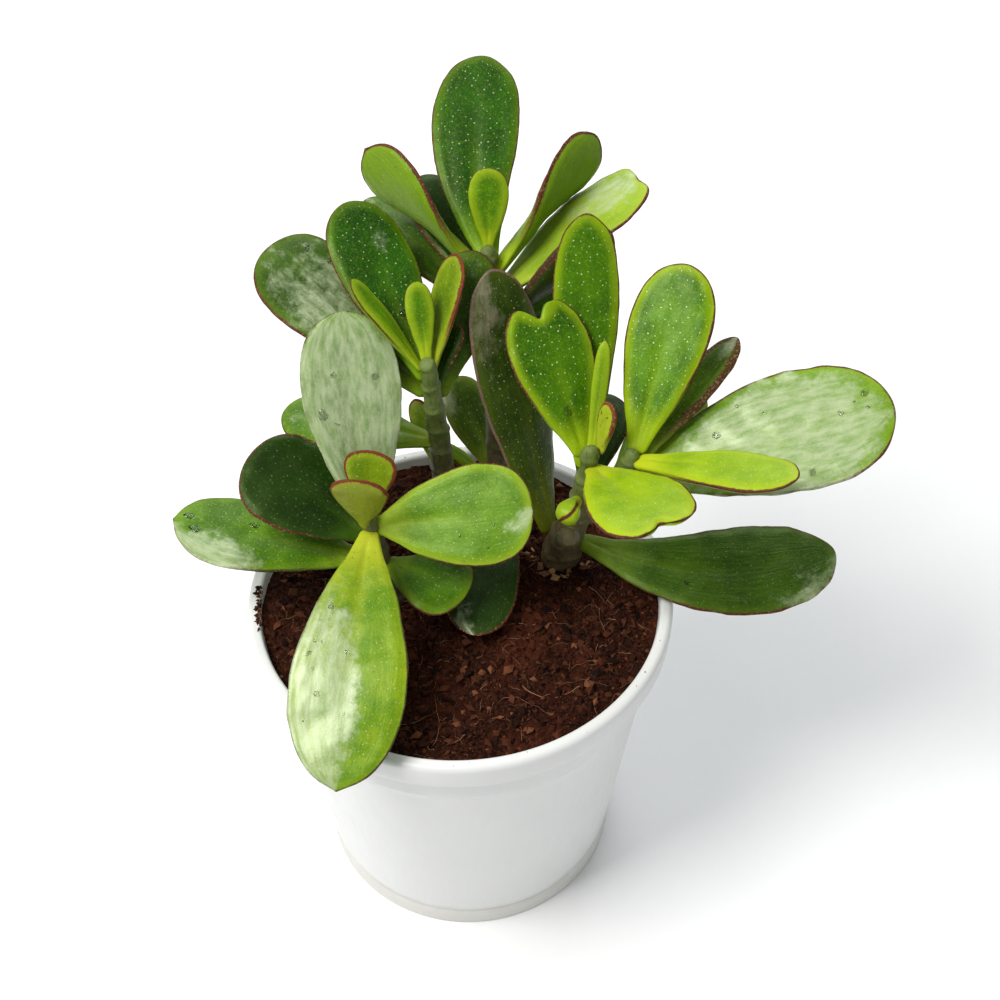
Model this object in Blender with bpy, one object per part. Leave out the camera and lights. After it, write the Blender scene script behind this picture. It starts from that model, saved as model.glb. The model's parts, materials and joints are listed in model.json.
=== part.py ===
"""Jade plant (Crassula ovata) in a white moulded nursery pot.

One shared frame in metres: the origin is the middle of the pot's foot on the ground, +Z is up,
and -Y is the front. Sizes below are in millimetres and angles in degrees; MM turns them into metres.
"""

import math

import bpy
import bmesh
from mathutils import Matrix, Vector

MM = 0.001

# Pot: a tapered thin-walled moulding with a rolled rim, a collar under it and a raised floor.
POT_HEIGHT = 96.0
RIM_RADIUS = 55.0
RIM_DEPTH = 8.0
RIM_LIP_WIDTH = 3.4
RIM_ROUNDING = 1.2
RIM_FLARE = 3.5
COLLAR_RADIUS = 50.8
COLLAR_DEPTH = 18.0
COLLAR_STEP = 0.5
COLLAR_TAPER = 0.6
SHOULDER_DEPTH = 12.0
FOOT_RADIUS = 41.0
FOOT_EDGE = 6.5
FOOT_RING_WIDTH = 3.5
FOOT_BEVEL = 1.0
WALL = 1.4
FLOOR_RISE = 2.5
FLOOR_THICKNESS = 1.6
CORNER_HEIGHT = 4.0
CORNER_WIDTH = 2.0
HUB_RADIUS = 10.0
DRAIN_HOLES = 6
DRAIN_HOLE_RADIUS = 3.5
DRAIN_CIRCLE_RADIUS = 27.0
DRAIN_HOLE_SIDES = 16
POT_SIDES = 64

# Soil: coir potting mix, filled almost to the brim and slightly mounded.
SOIL_BELOW_RIM = 3.0
SOIL_MOUND = 1.4
SOIL_RIPPLE = 0.5
RIPPLE_LENGTHS = (7.0, 6.0, 3.7)
SOIL_SIDES = 36
SOIL_RINGS = 7

# Gaps between pieces that touch: leaf to stem and soil to pot, then stem to its socket in the soil.
CLEARANCE = 0.3
SOCKET_CLEARANCE = 0.35

# Leaves: every leaf has these proportions unless it says otherwise. Belly is the share of the
# length where it is widest, tip is how blunt its end is (lower is blunter), and cup is how far its
# margins lift as a share of its half width.
LEAF_THICKNESS = 3.4
LEAF_BELLY = 0.66
LEAF_TIP = 0.5
LEAF_NECK = 2.6
LEAF_CUP = 0.10
NOTCH_WIDTH = 0.35
YOUNG = dict(thickness=2.2, neck=1.4)
LEAF_STATIONS = (0.0, 0.1, 0.22, 0.36, 0.5, 0.63, 0.75, 0.86, 0.95)
LEAF_RING_POINTS = 12
SPINE_STEPS = 60
UPPER_FACE_SHARE = 0.4
EDGE_ROUNDNESS = 0.8

# Stems: ten-sided tubes with a domed top and a slimmer rooted end.
STEM_SIDES = 10
STEM_STEPS = 5
ROOTED_DEPTH = 18.0
ROOT_TAPER = 0.8
DOME_WIDTH = 0.6
DOME_HEIGHT = 0.75

SOIL_TOP = POT_HEIGHT - SOIL_BELOW_RIM


def clear_scene():
    for old in list(bpy.data.objects):
        bpy.data.objects.remove(old, do_unlink=True)


def material(name, colour, roughness):
    made = bpy.data.materials.new(name)
    made.use_nodes = True
    shader = made.node_tree.nodes["Principled BSDF"]
    shader.inputs["Base Color"].default_value = (*colour, 1.0)
    shader.inputs["Roughness"].default_value = roughness
    shader.inputs["Metallic"].default_value = 0.0
    return made


def object_from(name, shape, surface):
    """Turns a bmesh into a named, smooth-shaded object with one material."""
    bmesh.ops.recalc_face_normals(shape, faces=shape.faces)
    mesh = bpy.data.meshes.new(name)
    shape.to_mesh(mesh)
    shape.free()
    mesh.shade_smooth()
    mesh.materials.append(surface)
    made = bpy.data.objects.new(name, mesh)
    bpy.context.scene.collection.objects.link(made)
    return made


def circle(centre, radius, sides):
    """Points on a level circle in millimetres, returned in metres."""
    angles = [2 * math.pi * i / sides for i in range(sides)]
    return [(centre + Vector((math.cos(a), math.sin(a), 0)) * radius) * MM for a in angles]


def loft(rings, first_pole, last_pole):
    """A closed mesh through rings of points, each end closed on its own pole."""
    shape = bmesh.new()
    rows = [[shape.verts.new(point) for point in ring] for ring in rings]
    start = shape.verts.new(first_pole)
    end = shape.verts.new(last_pole)
    count = len(rows[0])
    for near, far in zip(rows, rows[1:]):
        for i in range(count):
            j = (i + 1) % count
            shape.faces.new((near[i], near[j], far[j]))
            shape.faces.new((near[i], far[j], far[i]))
    for i in range(count):
        j = (i + 1) % count
        shape.faces.new((start, rows[0][j], rows[0][i]))
        shape.faces.new((end, rows[-1][i], rows[-1][j]))
    return shape


def turned(profile, sides):
    """A closed solid of revolution about Z from a (radius, height) outline that ends on the axis."""
    rings = [circle(Vector((0, 0, height)), radius, sides) for radius, height in profile[1:-1]]
    bottom = Vector((0, 0, profile[0][1])) * MM
    top = Vector((0, 0, profile[-1][1])) * MM
    return loft(rings, bottom, top)


def combine(target, other, operation):
    """Cuts the other object from the target or joins it on, and hides the other object."""
    other.hide_render = True
    other.display_type = "WIRE"
    modifier = target.modifiers.new(other.name, "BOOLEAN")
    modifier.operation = operation
    modifier.solver = "EXACT"
    modifier.object = other


# ---------------------------------------------------------------- pot and soil


def body_radius(height):
    """Outer radius of the pot's tapered body at a height."""
    share = (height - FOOT_EDGE) / (POT_HEIGHT - COLLAR_DEPTH - FOOT_EDGE)
    return FOOT_RADIUS + (COLLAR_RADIUS - COLLAR_STEP - FOOT_RADIUS) * share


def inner_radius(height):
    """Inner radius of the pot at a height: the body's wall, then the wider mouth behind the rim."""
    shoulder = POT_HEIGHT - SHOULDER_DEPTH
    if height < shoulder:
        return body_radius(height) - WALL
    share = (height - shoulder) / SHOULDER_DEPTH
    mouth = RIM_RADIUS - RIM_LIP_WIDTH
    collar = COLLAR_RADIUS - WALL
    return collar + (mouth - collar) * share


def make_pot(surface):
    inside_floor = FLOOR_RISE + FLOOR_THICKNESS
    collar_bottom = POT_HEIGHT - COLLAR_DEPTH
    rim_bottom = POT_HEIGHT - RIM_DEPTH
    shoulder = POT_HEIGHT - SHOULDER_DEPTH
    mouth = RIM_RADIUS - RIM_LIP_WIDTH
    profile = [
        (0, 0),
        (HUB_RADIUS, 0),
        (HUB_RADIUS + FOOT_BEVEL, FLOOR_RISE),
        (FOOT_RADIUS - FOOT_RING_WIDTH - FOOT_BEVEL, FLOOR_RISE),
        (FOOT_RADIUS - FOOT_RING_WIDTH, 0),
        (FOOT_RADIUS - FOOT_BEVEL, 0),
        (FOOT_RADIUS, FOOT_BEVEL),
        (FOOT_RADIUS, FOOT_EDGE),
        (body_radius(collar_bottom), collar_bottom),
        (COLLAR_RADIUS, collar_bottom + COLLAR_STEP),
        (COLLAR_RADIUS + COLLAR_TAPER, rim_bottom - RIM_ROUNDING),
        (RIM_RADIUS - RIM_ROUNDING, rim_bottom),
        (RIM_RADIUS, rim_bottom + RIM_FLARE),
        (RIM_RADIUS, POT_HEIGHT - 2 * RIM_ROUNDING),
        (RIM_RADIUS - RIM_ROUNDING / 3, POT_HEIGHT - RIM_ROUNDING),
        (RIM_RADIUS - RIM_ROUNDING, POT_HEIGHT),
        (mouth + RIM_ROUNDING, POT_HEIGHT),
        (mouth, POT_HEIGHT - RIM_ROUNDING),
        (inner_radius(shoulder), shoulder),
        (inner_radius(inside_floor + CORNER_HEIGHT), inside_floor + CORNER_HEIGHT),
        (inner_radius(inside_floor) - CORNER_WIDTH, inside_floor),
        (0, inside_floor),
    ]
    pot = object_from("pot", turned(profile, POT_SIDES), surface)
    drill = [
        (0, -FLOOR_THICKNESS),
        (DRAIN_HOLE_RADIUS, -FLOOR_THICKNESS),
        (DRAIN_HOLE_RADIUS, inside_floor + FLOOR_THICKNESS),
        (0, inside_floor + FLOOR_THICKNESS),
    ]
    for i in range(DRAIN_HOLES):
        angle = 2 * math.pi * (i + 0.5) / DRAIN_HOLES
        cutter = object_from(f"drain_hole_{i + 1}", turned(drill, DRAIN_HOLE_SIDES), surface)
        cutter.location = Vector((math.cos(angle), math.sin(angle), 0)) * DRAIN_CIRCLE_RADIUS * MM
        combine(pot, cutter, "DIFFERENCE")


def soil_height(radius, angle, edge):
    """The soil's top: a low mound with soft ripples that die out at the pot's wall."""
    x = radius * math.cos(angle)
    y = radius * math.sin(angle)
    across, along, fine = RIPPLE_LENGTHS
    ripple = math.sin(x / across) * math.cos(y / along) + math.sin((x + y) / fine) / 2
    share = radius / edge
    return SOIL_TOP + SOIL_MOUND * (1 - share**2) + SOIL_RIPPLE * ripple * (1 - share**4)


def make_soil(surface, sockets):
    bottom = FLOOR_RISE + FLOOR_THICKNESS + CLEARANCE
    shoulder = POT_HEIGHT - SHOULDER_DEPTH
    edge = inner_radius(SOIL_TOP) - CLEARANCE
    side = [
        (inner_radius(bottom) - CORNER_WIDTH - CLEARANCE, bottom),
        (inner_radius(bottom + CORNER_HEIGHT) - CLEARANCE, bottom + CORNER_HEIGHT),
        (inner_radius(shoulder) - CLEARANCE, shoulder),
        (edge, SOIL_TOP),
    ]
    rings = [circle(Vector((0, 0, height)), radius, SOIL_SIDES) for radius, height in side]
    angles = [2 * math.pi * i / SOIL_SIDES for i in range(SOIL_SIDES)]
    for step in range(1, SOIL_RINGS):
        radius = edge * (1 - step / SOIL_RINGS)
        spots = [(radius * math.cos(a), radius * math.sin(a), soil_height(radius, a, edge)) for a in angles]
        rings.append([Vector(spot) * MM for spot in spots])
    middle = Vector((0, 0, soil_height(0, 0, edge))) * MM
    soil = object_from("soil", loft(rings, Vector((0, 0, bottom)) * MM, middle), surface)
    for socket in sockets:
        combine(soil, socket, "DIFFERENCE")


# ---------------------------------------------------------------- stems


class Stem:
    """A stem along a smooth curve through (x, y, height above the soil, radius) points."""

    def __init__(self, points):
        self.points = [Vector((x, y, SOIL_TOP + up, radius)) for x, y, up, radius in points]

    def at(self, place):
        """Position and radius at a place on the curve, counted in points from 0."""
        last = len(self.points) - 1
        i = min(int(max(place, 0)), last - 1)
        t = place - i
        p1 = self.points[i]
        p2 = self.points[i + 1]
        p0 = self.points[i - 1] if i else p1 * 2 - p2
        p3 = self.points[i + 2] if i + 2 <= last else p2 * 2 - p1
        bend = (2 * p0 - 5 * p1 + 4 * p2 - p3) * t**2 + (3 * p1 - p0 - 3 * p2 + p3) * t**3
        found = (2 * p1 + (p2 - p0) * t + bend) / 2
        return found.xyz, found.w

    def at_height(self, up):
        """Position and radius where the stem is this high above the soil, or at its top."""
        low = 0.0
        high = float(len(self.points) - 1)
        for _ in range(40):
            middle = (low + high) / 2
            if self.at(middle)[0].z < SOIL_TOP + up:
                low = middle
            else:
                high = middle
        return self.at(low)

    def shape(self, rooted, extra=0.0):
        """The stem's closed tube, with a rooted end or a plain start; extra makes a wider cutter."""
        steps = STEM_STEPS * (len(self.points) - 1)
        foot, radius = self.at(0)
        rings = []
        start = foot
        if rooted:
            start = foot - Vector((0, 0, ROOTED_DEPTH + extra))
            rings.append(circle(start, radius * ROOT_TAPER + extra, STEM_SIDES))
        for i in range(steps + 1):
            centre, radius = self.at(i / STEM_STEPS)
            rings.append(circle(centre, radius + extra, STEM_SIDES))
        dome = centre + Vector((0, 0, radius * DOME_WIDTH))
        rings.append(circle(dome, radius * DOME_WIDTH + extra, STEM_SIDES))
        end = centre + Vector((0, 0, radius * DOME_HEIGHT + extra))
        return loft(rings, start * MM, end * MM)


def make_stem(name, stem, branches, surface):
    """A rooted stem with its branches grown out of it as one piece."""
    made = object_from(name, stem.shape(rooted=True), surface)
    for number, branch in enumerate(branches, 1):
        grown = object_from(f"{name}_branch_{number}", branch.shape(rooted=False), surface)
        combine(made, grown, "UNION")


# ---------------------------------------------------------------- leaves


def half_width(s, width, belly, tip, neck):
    """Half the leaf's width at the share s of its length: widest at the belly, then round to the tip."""
    rise = 2 * tip * belly**2 / (1 - belly**2)
    blade = width / 2 * (s / belly) ** rise * ((1 - s**2) / (1 - belly**2)) ** tip
    return math.hypot(blade, neck * (1 - s))


def half_thickness(s, thickness):
    """Half the leaf's thickness: fleshy to the tip, where it rounds off."""
    body = thickness / 2 * (0.8 + 0.4 * math.sin(math.pi * s))
    return body * math.sqrt(1 - s**6)


def leaf_shape(
    length,
    width,
    curl=0,
    sway=0,
    twist=0,
    cup=LEAF_CUP,
    belly=LEAF_BELLY,
    tip=LEAF_TIP,
    neck=LEAF_NECK,
    thickness=LEAF_THICKNESS,
    notch=0,
    notch_side=0,
):
    """A fleshy obovate leaf: x runs from base to tip, y across, z out of the upper face.

    Curl bends it towards its upper face, sway bends it sideways and twist turns its tip about the
    midrib. Notch draws the tip in by that share of the length, at notch_side across it.
    """
    curl = math.radians(curl)
    sway = math.radians(sway)
    spine = [Vector((0, 0, 0))]
    for i in range(SPINE_STEPS):
        along = (i + 0.5) / SPINE_STEPS - 0.5
        step = Vector((1, sway * along, curl * along)).normalized()
        spine.append(spine[-1] + step * length / SPINE_STEPS)
    scale = length / spine[-1].x

    def dent(s, side):
        return notch * length * s**6 * math.exp(-(((side - notch_side) / NOTCH_WIDTH) ** 2))

    def ring(s):
        centre = spine[round(s * SPINE_STEPS)] * scale
        along = s - 0.5
        lean = Matrix.Rotation(-curl * along, 3, "Y") @ Matrix.Rotation(sway * along, 3, "Z")
        lean = lean @ Matrix.Rotation(math.radians(twist) * s, 3, "X")
        half = half_width(s, width, belly, tip, neck)
        thick = half_thickness(s, thickness)
        lift = cup * half * math.sqrt(math.sin(math.pi * min(1.0, s + 0.25)))
        points = []
        for i in range(LEAF_RING_POINTS):
            angle = 2 * math.pi * i / LEAF_RING_POINTS
            side = math.copysign(abs(math.cos(angle)) ** EDGE_ROUNDNESS, math.cos(angle))
            share = UPPER_FACE_SHARE if math.sin(angle) > 0 else 1 - UPPER_FACE_SHARE
            height = 2 * share * thick * math.sin(angle) + lift * side**2
            place = Vector((-dent(s, side), half * side, height))
            points.append((centre + lean @ place) * MM)
        return points

    end = spine[-1] * scale - Vector((dent(1, 0), 0, 0))
    return loft([ring(s) for s in LEAF_STATIONS], Vector((0, 0, 0)), end * MM)


def make_leaf(name, stem, surface, up, bearing, rise, roll=0, reach=0, **shape):
    """A leaf on a stem at a height above the soil, pointing along a bearing and rising by an angle.

    Roll turns it about its own length, and reach moves its base out from the stem.
    """
    made = object_from(name, leaf_shape(**shape), surface)
    foot, radius = stem.at_height(up)
    turn = (
        Matrix.Rotation(math.radians(bearing), 4, "Z")
        @ Matrix.Rotation(-math.radians(rise), 4, "Y")
        @ Matrix.Rotation(math.radians(roll), 4, "X")
    )
    away = Vector((math.cos(math.radians(bearing)), math.sin(math.radians(bearing)), 0))
    half = shape.get("thickness", LEAF_THICKNESS) / 2
    gap = radius + CLEARANCE + reach + half * abs(math.sin(math.radians(rise)))
    made.matrix_world = Matrix.Translation((foot + away * gap) * MM) @ turn


# Stems as (x, y, height above the soil, radius) points; a branch starts inside the stem it grows from.
FRONT_LEFT = Stem([(-17, 0, 0, 3.2), (-19, 1, 12, 2.8), (-22, 0, 35, 2.2)])
LEFT = Stem([(-3, 28, 0, 3.4), (-3, 27, 25, 3.0), (-4, 23, 46, 2.6), (-5, 20, 64, 2.0)])
BACK = Stem([(12, 32, 0, 3.4), (12, 40, 36, 3.0), (11, 49, 75, 2.0)])
RIGHT = Stem([(27, 13, 0, 5.5), (28, 11, 10, 4.8), (31, 7, 25, 3.4), (33, 2, 50, 2.0)])
FAR_RIGHT = Stem([(30, 9, 17, 3.0), (36, 6, 28, 2.8), (43, 2, 48, 2.0)])
CUT_STUB = Stem([(27, 11, 8, 3.4), (28, 5, 16, 3.2), (28, 3, 19, 3.2)])

# Leaves from the bottom of each stem to its top. Up is the height above the soil where the leaf
# grows, bearing is its direction seen from above (0 is +X, 90 the back), rise its slope.
FRONT_LEFT_LEAVES = [
    dict(up=16, bearing=171, rise=12, length=50, width=23, tip=0.62, curl=8),
    dict(up=16, bearing=-30, rise=-3, length=21, width=20, reach=0.3),
    dict(up=29, bearing=-99, rise=-22, length=63, width=28, tip=0.68, belly=0.62, curl=-14),
    dict(up=28.5, bearing=98, rise=63, length=52, width=24, reach=0.5, curl=-8),
    dict(up=24.7, bearing=152, rise=28, length=34, width=25, roll=-14),
    dict(up=30, bearing=-7, rise=12, length=38, width=25, roll=38, tip=0.45),
    dict(up=35, bearing=75, rise=68, length=14, width=13, reach=-0.5, **YOUNG),
    dict(up=35, bearing=-100, rise=82, length=17, width=14, cup=0.2, reach=-0.3, **YOUNG),
]
LEFT_LEAVES = [
    dict(up=20, bearing=112, rise=42, length=17, width=6, roll=-30, reach=1, **YOUNG),
    dict(up=33, bearing=168, rise=6, length=38, width=20),
    dict(up=53, bearing=143, rise=30, length=51, width=28, tip=0.42, belly=0.7),
    dict(up=51, bearing=63, rise=48, length=35, width=15, roll=25),
    dict(up=58, bearing=116, rise=34, length=47, width=20),
    dict(up=56, bearing=52, rise=50, length=14, width=5, **YOUNG),
    dict(up=61, bearing=70, rise=46, length=27, width=12, roll=-40, reach=0.3, **YOUNG),
    dict(up=62.5, bearing=147, rise=48, length=26, width=8, roll=20, **YOUNG),
    dict(up=64, bearing=98, rise=54, length=18, width=7, **YOUNG),
]
BACK_LEAVES = [
    dict(up=8, bearing=-100, rise=-3, length=47, width=18, reach=0.5),
    dict(up=11, bearing=114, rise=35, length=26, width=13, cup=-0.1),
    dict(up=10, bearing=165, rise=42, length=14, width=5, **YOUNG),
    dict(up=44, bearing=34, rise=42, length=28, width=13),
    dict(up=57.8, bearing=2, rise=42.5, length=35, width=13.5, roll=-30, twist=-75, sway=30),
    dict(up=59, bearing=133, rise=16, length=44, width=16),
    dict(up=63.6, bearing=24, rise=28, length=46, width=21, notch=0.1, notch_side=-0.3, roll=-8),
    dict(up=63.4, bearing=116, rise=23, length=36, width=16),
    dict(up=69, bearing=142, rise=34, length=41, width=18, roll=25, twist=90, tip=0.7),
    dict(up=69.2, bearing=40, rise=34, length=41, width=17, roll=-25, twist=-90, tip=0.6),
    dict(up=71.4, bearing=87, rise=31, length=55, width=22, sway=-28),
    dict(up=75, bearing=84, rise=68, length=19, width=10, reach=-0.4, **YOUNG),
]
RIGHT_LEAVES = [
    dict(up=8, bearing=121.5, rise=70, length=73.5, width=20, cup=-0.12),
    dict(up=8, bearing=-8, rise=2, length=64, width=25, sway=55, roll=15, tip=0.6, reach=0.6),
    dict(up=33, bearing=-120, rise=10, length=7, width=6, reach=1, thickness=5.5, neck=1.4),
    dict(up=33, bearing=72, rise=16, length=26, width=14),
    dict(up=37, bearing=86, rise=60, length=61, width=16, reach=3, curl=22),
    dict(up=46, bearing=112, rise=46, length=38, width=21, notch=0.16, notch_side=0.15, reach=1.0),
    dict(up=45, bearing=-66, rise=17, length=34, width=24, notch=0.1),
    dict(up=48, bearing=75, rise=56, length=26, width=4, **YOUNG),
    dict(up=50, bearing=30, rise=80, length=13, width=6, reach=-0.5, **YOUNG),
]
FAR_RIGHT_LEAVES = [
    dict(up=36.6, bearing=52, rise=2, length=37, width=15),
    dict(up=38.5, bearing=1, rise=17, length=65, width=32, roll=19, reach=0.3),
    dict(up=43, bearing=39, rise=29, length=39, width=9.5, reach=0.8),
    dict(up=48, bearing=64, rise=46, length=45, width=20),
    dict(up=47, bearing=-34, rise=20, length=41, width=13.5, reach=0.3),
]

clear_scene()

white = material("pot_plastic", (0.86, 0.86, 0.87), 0.35)
earth = material("coir_soil", (0.06, 0.025, 0.015), 0.95)
bark = material("stem_skin", (0.13, 0.10, 0.04), 0.7)
green = material("leaf_green", (0.07, 0.18, 0.03), 0.35)
lime = material("leaf_young", (0.30, 0.45, 0.04), 0.35)

make_pot(white)
rooted_stems = {
    "front_left_stem": FRONT_LEFT,
    "left_stem": LEFT,
    "back_stem": BACK,
    "right_stem": RIGHT,
}
sockets = [
    object_from(f"{name}_socket", stem.shape(rooted=True, extra=SOCKET_CLEARANCE), earth)
    for name, stem in rooted_stems.items()
]
make_soil(earth, sockets)
for name, stem in rooted_stems.items():
    make_stem(name, stem, [FAR_RIGHT, CUT_STUB] if stem is RIGHT else [], bark)

for shoot, stem, leaves in (
    ("front_left", FRONT_LEFT, FRONT_LEFT_LEAVES),
    ("left", LEFT, LEFT_LEAVES),
    ("back", BACK, BACK_LEAVES),
    ("right", RIGHT, RIGHT_LEAVES),
    ("far_right", FAR_RIGHT, FAR_RIGHT_LEAVES),
):
    for number, leaf in enumerate(leaves, 1):
        surface = lime if leaf.get("thickness") == YOUNG["thickness"] else green
        make_leaf(f"{shoot}_leaf_{number}", stem, surface, **leaf)
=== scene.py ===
"""Looks for a young jade plant in a white moulded nursery pot.

Metres throughout, +Z up, -Y the front; MM turns a size in millimetres into metres.
"""

import json
import math

import bmesh
import bpy
import numpy as np
from mathutils import Matrix, Vector

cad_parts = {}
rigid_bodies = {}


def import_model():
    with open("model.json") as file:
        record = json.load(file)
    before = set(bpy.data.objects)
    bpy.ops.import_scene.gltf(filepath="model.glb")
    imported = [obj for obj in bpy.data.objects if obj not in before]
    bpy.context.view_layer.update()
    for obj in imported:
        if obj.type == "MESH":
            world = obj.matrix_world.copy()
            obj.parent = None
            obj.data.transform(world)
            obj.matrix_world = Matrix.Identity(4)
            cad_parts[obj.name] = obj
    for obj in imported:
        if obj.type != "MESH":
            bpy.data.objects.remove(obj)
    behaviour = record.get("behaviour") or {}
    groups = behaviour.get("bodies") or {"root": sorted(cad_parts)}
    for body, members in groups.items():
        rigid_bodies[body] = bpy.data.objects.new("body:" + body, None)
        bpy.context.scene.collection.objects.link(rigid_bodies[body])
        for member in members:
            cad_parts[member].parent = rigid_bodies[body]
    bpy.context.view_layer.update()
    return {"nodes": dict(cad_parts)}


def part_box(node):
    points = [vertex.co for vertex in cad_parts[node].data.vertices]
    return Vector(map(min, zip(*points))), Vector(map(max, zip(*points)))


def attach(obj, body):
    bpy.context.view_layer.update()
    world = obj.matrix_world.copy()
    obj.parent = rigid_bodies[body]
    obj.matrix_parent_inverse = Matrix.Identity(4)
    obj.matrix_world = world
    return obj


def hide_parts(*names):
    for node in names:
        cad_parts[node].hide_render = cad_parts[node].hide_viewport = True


MM = 0.001

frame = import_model()


# ---------------------------------------------------------------- camera
# A hand-held view from in front and well above the rim, with a moderate lens.
# It is level but for a slight lean to the left.

camera_place = Vector((0.0, -0.2703, 0.4106))
looks_at = Vector((0.0108, 0.0, 0.1298))
camera_lean = math.radians(-1.2)

camera_data = bpy.data.cameras.new("view")
camera_data.sensor_width = 36.0
camera_data.lens = 57.6
camera_data.clip_start = 0.01
camera = bpy.data.objects.new("view", camera_data)
bpy.context.scene.collection.objects.link(camera)
aim = (looks_at - camera_place).to_track_quat("-Z", "Y").to_matrix().to_4x4()
camera.matrix_world = Matrix.Translation(camera_place) @ aim @ Matrix.Rotation(camera_lean, 4, "Z")
bpy.context.scene.camera = camera


# ---------------------------------------------------------------- pot
# A thin injection-moulded nursery pot in white polypropylene: a tapered body, a slightly wider
# collar, a rolled rim, and a raised floor with a foot ring and drain holes. It came off its core
# in one piece, so its only marks are faint rings, fine scuffs and a little dirt at the foot.

pot_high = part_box("pot")[1]
pot_height = pot_high.z
rim_radius = pot_high.x
pot_sides = 288


def arc(radius_at, height_at, round_by, start, end, steps=8):
    """Points on a quarter or half circle of a profile, in metres and degrees."""
    angles = np.radians(np.linspace(start, end, steps))
    return [(radius_at + round_by * math.cos(a), height_at + round_by * math.sin(a)) for a in angles]


def straight(start, end, steps):
    """Evenly spaced points from one profile point to another, the last one left out."""
    shares = np.arange(steps) / steps
    return [tuple(np.array(start) + (np.array(end) - np.array(start)) * share) for share in shares]


def new_mesh(name, points, faces, smooth=True):
    """An object in the scene from points and a list of faces."""
    mesh = bpy.data.meshes.new(name)
    mesh.from_pydata([tuple(p) for p in points], [], [tuple(f) for f in faces])
    mesh.update()
    if smooth:
        mesh.shade_smooth()
    made = bpy.data.objects.new(name, mesh)
    bpy.context.scene.collection.objects.link(made)
    return made


def turned(name, profile, sides):
    """A solid of revolution whose profile starts and ends on the axis."""
    angles = 2 * np.pi * np.arange(sides) / sides
    rows = [
        np.stack([r * np.cos(angles), r * np.sin(angles), np.full(sides, z)], axis=1)
        for r, z in profile[1:-1]
    ]
    points = np.concatenate(rows + [np.array([(0, 0, profile[0][1]), (0, 0, profile[-1][1])])])
    faces = []
    for row in range(len(rows) - 1):
        for i in range(sides):
            j = (i + 1) % sides
            faces.append((row * sides + i, row * sides + j, (row + 1) * sides + j, (row + 1) * sides + i))
    last = (len(rows) - 1) * sides
    bottom = len(rows) * sides
    for i in range(sides):
        j = (i + 1) % sides
        faces.append((bottom, j, i))
        faces.append((bottom + 1, last + i, last + j))
    return new_mesh(name, points, faces)


def settle(piece):
    """Keeps what the piece's modifiers make of it as its plain mesh."""
    graph = bpy.context.evaluated_depsgraph_get()
    mesh = bpy.data.meshes.new_from_object(piece.evaluated_get(graph))
    piece.modifiers.clear()
    piece.data = mesh
    return piece


foot_radius = 41 * MM
wall = 1.4 * MM
floor_rise = 2.5 * MM
floor_top = 4.1 * MM
hub_radius = 10 * MM
rim_bottom = pot_height - 8 * MM
collar_bottom = pot_height - 18 * MM
mouth_radius = rim_radius - 3.4 * MM
shoulder = pot_height - 12 * MM

pot_profile = [(0, 0), (hub_radius * 0.5, 0)]
pot_profile += arc(hub_radius - 0.6 * MM, 0.6 * MM, 0.6 * MM, -90, 0, 5)
pot_profile += [(hub_radius + 0.4 * MM, floor_rise), (24 * MM, floor_rise)]
pot_profile += [(foot_radius - 4.6 * MM, floor_rise)]
pot_profile += [(foot_radius - 3.6 * MM, 0.4 * MM), (foot_radius - 3.2 * MM, 0)]
pot_profile += arc(foot_radius - 0.7 * MM, 0.7 * MM, 0.7 * MM, -90, 0, 7)
pot_profile += [(foot_radius + 0.02 * MM, 3 * MM), (foot_radius + 0.05 * MM, 5.8 * MM)]
pot_profile += [(foot_radius - 0.25 * MM, 6.3 * MM), (foot_radius - 0.2 * MM, 6.8 * MM)]
pot_profile += straight((foot_radius + 0.1 * MM, 7.4 * MM), (50.2 * MM, collar_bottom - 0.3 * MM), 24)
pot_profile += arc(50.5 * MM, collar_bottom + 0.3 * MM, 0.35 * MM, -90, 0, 5)
pot_profile += straight((50.9 * MM, collar_bottom + 0.8 * MM), (51.4 * MM, rim_bottom - 0.9 * MM), 5)
pot_profile += arc(52.4 * MM, rim_bottom - 1.0 * MM, 1.0 * MM, 180, 90, 6)
pot_profile += arc(rim_radius - 1.3 * MM, rim_bottom + 1.1 * MM, 1.1 * MM, -90, -20, 6)
pot_profile += [(rim_radius - 0.12 * MM, rim_bottom + 2.6 * MM), (rim_radius, rim_bottom + 4.2 * MM)]
pot_profile += arc(rim_radius - 1.5 * MM, pot_height - 1.5 * MM, 1.5 * MM, 0, 90, 9)
pot_profile += arc(mouth_radius + 1.0 * MM, pot_height - 1.0 * MM, 1.0 * MM, 90, 180, 8)
pot_profile += straight((mouth_radius - 0.1 * MM, pot_height - 2 * MM), (49.4 * MM, shoulder), 5)
pot_profile += straight((49.2 * MM, shoulder), (foot_radius - wall + 0.4 * MM, floor_top + 4 * MM), 6)
pot_profile += [(foot_radius - wall - 0.6 * MM, floor_top + 1 * MM)]
pot_profile += [(foot_radius - wall - 2.2 * MM, floor_top)]
pot_profile += [(24 * MM, floor_top), (0, floor_top)]

pot = turned("pot_moulding", pot_profile, pot_sides)

drain_holes = 6
drain_radius = 3.5 * MM
drain_circle = 27 * MM
for number in range(drain_holes):
    turn = 2 * math.pi * (number + 0.5) / drain_holes
    drill = turned(
        f"drill_{number}", [(0, -0.002), (drain_radius, -0.002), (drain_radius, 0.008), (0, 0.008)], 40
    )
    drill.location = (drain_circle * math.cos(turn), drain_circle * math.sin(turn), 0)
    hole = pot.modifiers.new(f"hole_{number}", "BOOLEAN")
    hole.operation = "DIFFERENCE"
    hole.object = drill
bpy.context.view_layer.update()
settle(pot)
for drill in [o for o in bpy.data.objects if o.name.startswith("drill_")]:
    bpy.data.objects.remove(drill)


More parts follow.
